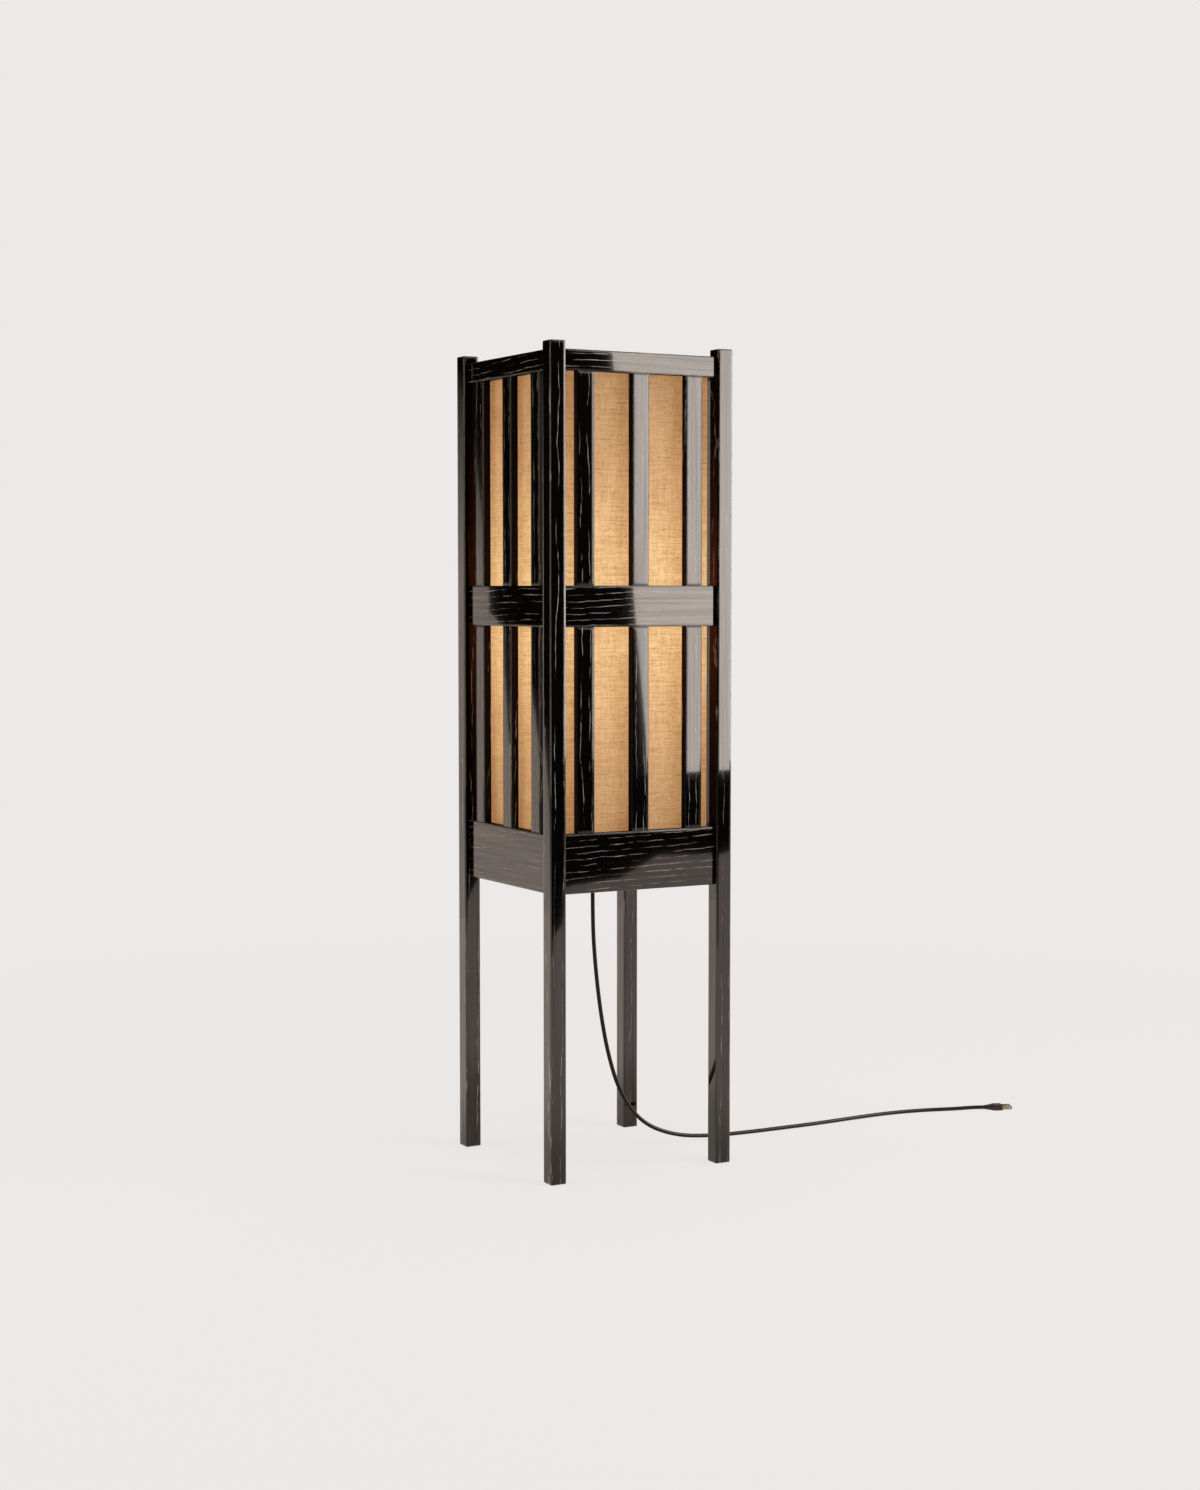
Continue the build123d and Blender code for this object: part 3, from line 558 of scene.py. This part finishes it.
# colours of the painted glow far from the bulb and beside it
LINEN_FAR = (1.0, 0.41, 0.135, 1)
LINEN_NEAR = (1.0, 0.62, 0.27, 1)
THREAD_GLOW = (1.0, 0.33, 0.085, 1)  # the redder painted glow of a thick thread
# painted reflection: the dimmer, redder glow it shows in the black lacquer
GLOW_MIRRORED = (0.38, 0.076, 0.017, 1)
MIRRORED_FADE = 2.5  # how fast that painted reflected glow fades away from the bulb


def place_mesh(name, mesh):
    """Puts a finished mesh in the scene as a piece."""
    data = bpy.data.meshes.new(name)
    mesh.to_mesh(data)
    mesh.free()
    piece = bpy.data.objects.new(name, data)
    bpy.context.scene.collection.objects.link(piece)
    return piece


def skin(mesh, low, high, closed=False):
    """A row of faces between two rows of points, which are rings if the row is closed."""
    ends = [*range(1, len(low)), 0] if closed else range(1, len(low))
    return [mesh.faces.new((low[i], low[j], high[j], high[i])) for i, j in enumerate(ends)]


def linen_outline():
    """Points round the shade from its back right corner: bent corners and flat sides."""
    flat = LINEN_OUT - LINEN_CORNER
    corners = []
    for turn, centre in enumerate(((flat, flat), (-flat, flat), (-flat, -flat), (flat, -flat))):
        for step in range(CORNER_POINTS):
            angle = math.pi / 2 * (turn + step / (CORNER_POINTS - 1))
            corners.append(Vector(centre) + LINEN_CORNER * Vector((math.cos(angle), math.sin(angle))))
    outline = []
    for here, there in zip(corners, corners[1:] + corners[:1]):
        parts = SIDE_PARTS if (there - here).length > LINEN_CORNER else 1
        outline += [here.lerp(there, part / parts) for part in range(parts)]
    return outline


def turned_edge(mesh, edge, up):
    """One edge of the cloth, turned in over its wire ring on each side between the notches."""
    faces = []
    last = RING_INSIDE - NOTCH
    for turns, run in itertools.groupby(edge, lambda p: min(abs(p.co.x), abs(p.co.y)) <= last):
        if not turns:
            continue
        rows = [list(run)]
        for inset, rise in FOLD:
            row = []
            for x, y, z in (p.co for p in rows[0]):
                wide = max(abs(x), abs(y))
                inner = (wide - inset) / wide
                place = (x * inner, y) if abs(x) > abs(y) else (x, y * inner)
                row.append(mesh.verts.new((*place, z + up * rise)))
            rows.append(row)
        for outer, inner in zip(rows, rows[1:]):
            faces += skin(mesh, outer, inner) if up > 0 else skin(mesh, inner, outer)
    return faces


def lap(mesh, heights):
    """The cloth's end, glued over its start just round the back right corner."""
    seam = Vector((LINEN_OUT, LINEN_OUT - LINEN_CORNER))
    profile = [seam + Vector((LAP_PROUD * out, -run)) for run, out in LAP_PROFILE]
    rows = [[mesh.verts.new((*place, z)) for place in profile] for z in heights]
    return [face for low, high in zip(rows, rows[1:]) for face in skin(mesh, low, high)]


def linen_sheet():
    """The cloth as one skin with its thickness: its wall, both turned edges and its lap."""
    mesh = bmesh.new()
    bottom = LINEN_LOW + LINEN_HEM
    span = LINEN_HIGH - LINEN_LOW - 2 * LINEN_HEM
    heights = [LINEN_LOW, *(bottom + span * row / ROWS for row in range(ROWS + 1)), LINEN_HIGH]
    outline = linen_outline()
    rows = [[mesh.verts.new((*place, z)) for place in outline] for z in heights]
    wall = [skin(mesh, low, high, closed=True) for low, high in zip(rows, rows[1:])]
    edges = turned_edge(mesh, rows[-1], 1) + turned_edge(mesh, rows[0], -1)
    for face in [*wall[0], *wall[-1], *edges, *lap(mesh, heights)]:
        face.material_index = 1
    cloth = place_mesh("linen", mesh)
    ply = cloth.modifiers.new("thickness", "SOLIDIFY")
    ply.thickness = LINEN_THICK
    ply.offset = -1
    return cloth


def streaks(finish, where, wide, tall, least, most=1.0, start=0.3, end=0.7, detail=2.0):
    """Share of the light that streaks of a size let through, least where the noise is high."""
    noise = patches(finish, where, (wide, wide, tall), detail, grain=0.6)
    return rescale(finish, noise.outputs["Fac"], start, end, low=most, high=least)


def slub_linen(name, light):
    """Plain-woven linen: threads both ways, slubs across, and a painted glow for the lamp's light."""
    finish, face = blank_finish(name, LINEN_PALE, LINEN_ROUGHNESS)
    where = add(finish, "TexCoord").outputs["Object"]
    thin, *layers = (
        # threads across, short and long
        streaks(finish, where, wide=0.014, tall=0.0016, least=0.86, most=1.1),
        streaks(finish, where, wide=0.07, tall=0.0024, least=0.88, most=1.1),
        # upright threads
        streaks(finish, where, wide=0.0018, tall=0.03, least=0.89, most=1.08),
        # slubs, which are long swellings of a thread, and small knots
        streaks(finish, where, wide=0.022, tall=0.0013, least=0.45, start=0.67, end=0.73),
        streaks(finish, where, wide=0.0022, tall=0.0016, least=0.75, start=0.74, end=0.8),
        # tighter and looser weaving
        streaks(finish, where, wide=0.03, tall=0.06, least=0.95, most=1.06),
        # the threads' crossings
        streaks(finish, where, wide=0.0009, tall=0.0009, least=0.88, most=1.1, detail=0.0),
    )
    for layer in layers:
        thin = combine(finish, "Math", thin, layer, operation="MULTIPLY")
    thick = rescale(finish, thin, start=0.5, end=1.0, low=1.0, high=0.0)
    # painted glow: how much of the bulb's light the cloth is made to give off, by its height
    near = nearness_to_bulb(finish, LINEN_REACH)
    glow = rescale(finish, near, low=LINEN_LEAST * light, high=light)
    through = combine(finish, "Math", glow, thin, operation="MULTIPLY")
    fade = combine(finish, "Math", near, MIRRORED_FADE, operation="POWER")
    mirrored = combine(finish, "Math", through, fade, operation="MULTIPLY")
    tone = between(finish, thick, LINEN_PALE, LINEN_THREAD)
    hue = between(finish, thick, between(finish, near, LINEN_FAR, LINEN_NEAR), THREAD_GLOW)
    # seen in polished wood, it is given a painted reflection: a darker colour and a dimmer, redder
    # glow
    polish = add(finish, "LightPath").outputs["Is Glossy Ray"]
    dent = add(finish, "Bump", Strength=0.5, Distance=LINEN_RELIEF, Height=thin)
    fill(
        face,
        Base_Color=between(finish, polish, tone, LINEN_MIRRORED),
        Emission_Color=between(finish, polish, hue, GLOW_MIRRORED),
        Emission_Strength=add(finish, "Mix", Factor=polish, A=through, B=mirrored).outputs["Result"],
        Normal=dent.outputs["Normal"],
        Sheen_Weight=LINEN_SHEEN,
    )
    return finish


linen = linen_sheet()
# the doubled edges get less of the painted glow
linen.data.materials.append(slub_linen("slub_linen", LINEN_LIGHT))
linen.data.materials.append(slub_linen("slub_linen_doubled", DOUBLED_LIGHT * LINEN_LIGHT))
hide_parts("linen_shade")
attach(linen, "shade")

# ---------------------------------------------------------------- power cord
# Round flexible cord in black vinyl, 6.2 mm thick. It leaves the sleeve straight down, hangs
# in one bend and lies along the floor to its plug. A plain lead goes on up inside the pipe.
CORD_RADIUS = 0.0031
PLUG_AXIS = 0.00475  # height of the plug's middle, where it lies on the floor
CORD_ROUTE = (
    (0, 0, 0.4045),
    (0, 0, 0.35),
    (0.004, -0.002, 0.285),
    (0.012, -0.003, 0.218),
    (0.025, -0.003, 0.152),
    (0.046, -0.003, 0.0895),
    (0.085, -0.003, 0.038),
    (0.143, -0.004, 0.0125),
    (0.207, -0.005, 0.0046),
    (0.273, -0.006, CORD_RADIUS),
    (0.342, -0.007, CORD_RADIUS),
    (0.415, -0.007, CORD_RADIUS),
    (0.487, -0.002, CORD_RADIUS),
    (0.558, 0, CORD_RADIUS),
    (0.622, -0.010, CORD_RADIUS),
    (0.673, -0.027, CORD_RADIUS),
    (0.700, -0.038, PLUG_AXIS),
    (0.720, -0.047, PLUG_AXIS),
)
CORD_BLACK = ((0.003, 0.0026, 0.0024, 1), (0.006, 0.005, 0.0045, 1))

vinyl = mottled("black_vinyl", CORD_BLACK, roughness=0.42, patch=0.003, dent=0.00003)
fill(face_of(vinyl), Specular_IOR_Level=0.3)
dress("inner_lead", vinyl)
line = bpy.data.curves.new("power_cord_line", "CURVE")
line.dimensions = "3D"
line.bevel_depth = CORD_RADIUS
line.bevel_resolution = 6
line.use_fill_caps = True
run = line.splines.new("NURBS")
run.points.add(len(CORD_ROUTE) - 1)
for point, place in zip(run.points, CORD_ROUTE):
    point.co = (*place, 1)
run.order_u = 3
run.use_endpoint_u = True
run.resolution_u = 12
flex = bpy.data.objects.new("flexible_cord", line)
bpy.context.scene.collection.objects.link(flex)
flex.data.materials.append(vinyl)
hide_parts("power_cord")
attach(flex, "frame")

# ---------------------------------------------------------------- plug
# A small flat two-blade plug, moulded on the cord's end in the same vinyl. Its blades are
# stamped brass.
PLUG_BLACK = ((0.007, 0.007, 0.007, 1), (0.015, 0.014, 0.013, 1))
BLADE_BRASS = ((0.24, 0.2, 0.13, 1), (0.4, 0.34, 0.24, 1))

dress("plug_body", mottled("plug_vinyl", PLUG_BLACK, roughness=0.4, patch=0.002, dent=0.00006))
dress("plug_blades", mottled("blade_brass", BLADE_BRASS, roughness=0.3, patch=0.004, metal=1.0))

# ---------------------------------------------------------------- floor
# Pale seamless paper, even to the eye but for the lamp's faint shadow. Polished wood is shown
# a painted reflection of it, warmer, with a painted shadow under the lamp, ending in a torn edge
# short of the camera, with the dark studio floor beyond.
PAPER = (0.84, 0.817, 0.808, 1)
PAPER_LIT = (0.96, 0.955, 0.96, 1)
PAPER_SHADE = 0.12  # share of the paper's look that takes light and shadow near the lamp
SHADE_REACH = (0.5, 2.6)  # where that share starts to fall and where it is gone
PAPER_GLARE = (0.92, 0.78, 0.68, 1)  # painted reflection: the paper as polished wood mirrors it
PAINTED_SHADOW_UNDER_LAMP = 0.55  # painted shadow: how bright that reflection is made under the lamp
PAINTED_SHADOW_REACH = (0.15, 0.7)  # how far from the lamp's axis that painted shadow starts to fade and ends
STUDIO_DARK = (0.004, 0.004, 0.004, 1)
FLOOR_REACH = 14.0
BACKDROP_Y = 2.5  # where the paper turns up and hangs
PAPER_EDGE = (
    (FLOOR_REACH, -7.0), (2.52, -3.9), (2.4, -3.8), (2.22, -3.87), (1.8, -3.38), (1.55, -3.26),
    (1.17, -2.59), (1.0, -2.33), (-FLOOR_REACH, -2.2),
)


def stage_finish(name):
    """An empty finish, for paper that differs to the eye, to light and in polished wood."""
    finish = bpy.data.materials.new(name)
    finish.use_nodes = True
    finish.node_tree.nodes.clear()
    return finish


def sheets(name, outlines):
    """Flat pieces of the stage, each made from the points round it."""
    mesh = bmesh.new()
    for outline in outlines:
        mesh.faces.new([mesh.verts.new(place) for place in outline])
    return place_mesh(name, mesh)


def floor_finish(name, glare):
    """A floor that looks like the same pale paper, with a painted reflection of its own in polished
    wood.
    """
    finish = stage_finish(name)
    where = add(finish, "TexCoord").outputs["Object"]
    away = add(finish, "VectorMath", {"operation": "LENGTH"}, Vector=where).outputs["Value"]
    lit = add(finish, "BsdfDiffuse", Color=PAPER_LIT).outputs["BSDF"]
    even = add(finish, "Emission", Color=PAPER).outputs["Emission"]
    shade = rescale(finish, away, *SHADE_REACH, low=PAPER_SHADE, high=0.0)
    # painted shadow under the lamp, in the reflection only
    under = rescale(finish, away, *PAINTED_SHADOW_REACH, low=PAINTED_SHADOW_UNDER_LAMP, interpolation_type="SMOOTHSTEP")
    mirrored = add(finish, "Emission", Color=glare, Strength=under).outputs["Emission"]
    path = add(finish, "LightPath")
    seen = combine(finish, "MixShader", shade, even, lit)
    unseen = combine(finish, "MixShader", path.outputs["Is Glossy Ray"], lit, mirrored)
    whole = combine(finish, "MixShader", path.outputs["Is Camera Ray"], unseen, seen)
    add(finish, "OutputMaterial", Surface=whole)
    return finish


near_floor = [(-FLOOR_REACH, -FLOOR_REACH), (FLOOR_REACH, -FLOOR_REACH), *PAPER_EDGE]
fold_line = [(-FLOOR_REACH, BACKDROP_Y), (FLOOR_REACH, BACKDROP_Y)]
paper = [*fold_line, *PAPER_EDGE]
far_floor = [*fold_line, (FLOOR_REACH, FLOOR_REACH), (-FLOOR_REACH, FLOOR_REACH)]
floor_parts = (near_floor, paper, far_floor)
floor = sheets("paper_floor", [[(x, y, 0.0) for x, y in part] for part in floor_parts])
floor.data.materials.append(floor_finish("studio_floor", STUDIO_DARK))
floor.data.materials.append(floor_finish("seamless_paper", PAPER_GLARE))
floor.data.polygons[1].material_index = 1

# ---------------------------------------------------------------- studio lights
# A tall key softbox at the front right lights the lamp, with one over it and a warm one at the
# left. Another at the right shows only in polished wood. The studio round them is pale to the
# eye, dim as a light and dark in every reflection.
STUDIO_DIM = (0.3, 0.275, 0.25, 1)
KEY_CORNER = Vector((1.25, -2.5, 0.452))  # its lower left corner
KEY_TURN = math.radians(38)  # from the lamp's front
KEY_LEAN = 0.09  # how far it leans to one side on its stand, in radians
KEY_WIDTH = 1.5
KEY_HEIGHT = 2.6
KEY_WARM = (1.0, 0.89, 0.81)
SIDE_HEIGHT = 1.73  # of the middle of the softbox at the right


def studio_world():
    """The studio itself, as the eye, the light on the lamp and its polish each have it."""
    world = bpy.data.worlds.new("studio")
    world.use_nodes = True
    world.node_tree.nodes.clear()
    path = add(world, "LightPath")
    dim, dark, pale = (
        add(world, "Background", Color=colour).outputs["Background"]
        for colour in (STUDIO_DIM, STUDIO_DARK, PAPER)
    )
    unseen = combine(world, "MixShader", path.outputs["Is Glossy Ray"], dim, dark)
    whole = combine(world, "MixShader", path.outputs["Is Camera Ray"], unseen, pale)
    add(world, "OutputWorld", Surface=whole)
    bpy.context.scene.world = world


def soft_light(name, place, target, width, height, radiance, colour, lean=0.0):
    """A flat soft light at a place, facing a target, of a given brightness on its face."""
    lamp = bpy.data.lights.new(name, "AREA")
    lamp.shape = "RECTANGLE"
    lamp.size = width
    lamp.size_y = height
    lamp.energy = radiance * math.pi * width * height
    lamp.color = colour
    made = bpy.data.objects.new(name, lamp)
    made.location = place
    made.rotation_euler = (Vector(target) - Vector(place)).to_track_quat("-Z", "Y").to_euler()
    made.rotation_euler.rotate_axis("Z", lean)
    made.visible_camera = False
    bpy.context.scene.collection.objects.link(made)
    return made


studio_world()
key_across = Vector((math.cos(KEY_TURN), math.sin(KEY_TURN), 0))
key_place = KEY_CORNER + key_across * KEY_WIDTH / 2 + Vector((0, 0, KEY_HEIGHT / 2))
soft_light(
    "key_softbox",
    place=key_place,
    target=key_place + Vector((-key_across.y, key_across.x, 0)),
    width=KEY_WIDTH,
    height=KEY_HEIGHT,
    radiance=5.45,
    colour=KEY_WARM,
    lean=KEY_LEAN,
)
soft_light(
    "top_softbox",
    place=(0.0, 0.0, 3.2),
    target=(0.0, 0.0, 0.0),
    width=1.6,
    height=1.6,
    radiance=3.4,
    colour=(1.0, 0.97, 0.94),
)
side_softbox = soft_light(
    "side_softbox",
    place=(2.57, -0.74, SIDE_HEIGHT),
    target=(0.0, 0.0, SIDE_HEIGHT),
    width=1.7,
    height=2.6,
    radiance=7.5,
    colour=KEY_WARM,
)
side_softbox.visible_diffuse = False
soft_light(
    "fill_softbox",
    place=(-2.9, 0.7, 1.3),
    target=(0.0, 0.0, 0.85),
    width=1.6,
    height=2.0,
    radiance=3.6,
    colour=(1.0, 0.75, 0.5),
)

# ---------------------------------------------------------------- backdrop
# The same paper where it hangs behind the lamp. Only polished wood sees this sheet, which has
# a torn left edge and fades towards its top.
BACKDROP_TOP = 1.45
BACKDROP_FADE = 0.9  # height where it starts to fade
BACKDROP_GLARE = (0.79, 0.66, 0.58, 1)
BACKDROP_OUTLINE = (
    (-1.6, 0.0), (-1.559, 0.217), (-1.532, 0.537), (-1.526, 0.4), (-1.516, 0.398), (-1.48, 0.618),
    (-1.468, 0.6), (-1.43, 0.45), (-1.418, 0.455), (-1.396, 0.762), (-1.379, 0.791), (-1.36, 0.807),
    (-1.359, 0.87), (-1.335, 1.1), (-1.29, BACKDROP_TOP), (3.5, BACKDROP_TOP), (3.5, 0.0),
)

hanging = stage_finish("hanging_paper")
where = add(hanging, "TexCoord").outputs["Object"]
height = add(hanging, "SeparateXYZ", Vector=where).outputs["Z"]
fade = rescale(hanging, height, BACKDROP_FADE, BACKDROP_TOP, low=1.0, high=0.0)
clear = add(hanging, "BsdfTransparent").outputs["BSDF"]
glare = add(hanging, "Emission", Color=BACKDROP_GLARE, Strength=fade).outputs["Emission"]
polish = add(hanging, "LightPath").outputs["Is Glossy Ray"]
add(hanging, "OutputMaterial", Surface=combine(hanging, "MixShader", polish, clear, glare))
backdrop = sheets("paper_backdrop", [[(x, BACKDROP_Y, z) for x, z in BACKDROP_OUTLINE]])
backdrop.data.materials.append(hanging)

# ---------------------------------------------------------------- camera
# Set back at the front left, a little above the lamp's middle and tipped slightly down. It is
# sharp throughout, and its view of the colours is plain.
LENS = 58.43  # its focal length and the height of its sensor are in millimetres
SENSOR_HEIGHT = 36.0
CAMERA_PLACE = (-1.7734, -3.2144, 0.8618)
CAMERA_TIP = 0.0635  # how far it is tipped down and turned to the right, in radians
CAMERA_TURN = 0.5072

camera = bpy.data.cameras.new("camera")
camera.sensor_fit = "VERTICAL"
camera.sensor_height = SENSOR_HEIGHT
camera.lens = LENS
eye = bpy.data.objects.new("camera", camera)
eye.location = CAMERA_PLACE
eye.rotation_euler = (math.pi / 2 - CAMERA_TIP, 0.0, -CAMERA_TURN)
bpy.context.scene.collection.objects.link(eye)
bpy.context.scene.camera = eye
bpy.context.scene.view_settings.view_transform = "Standard"
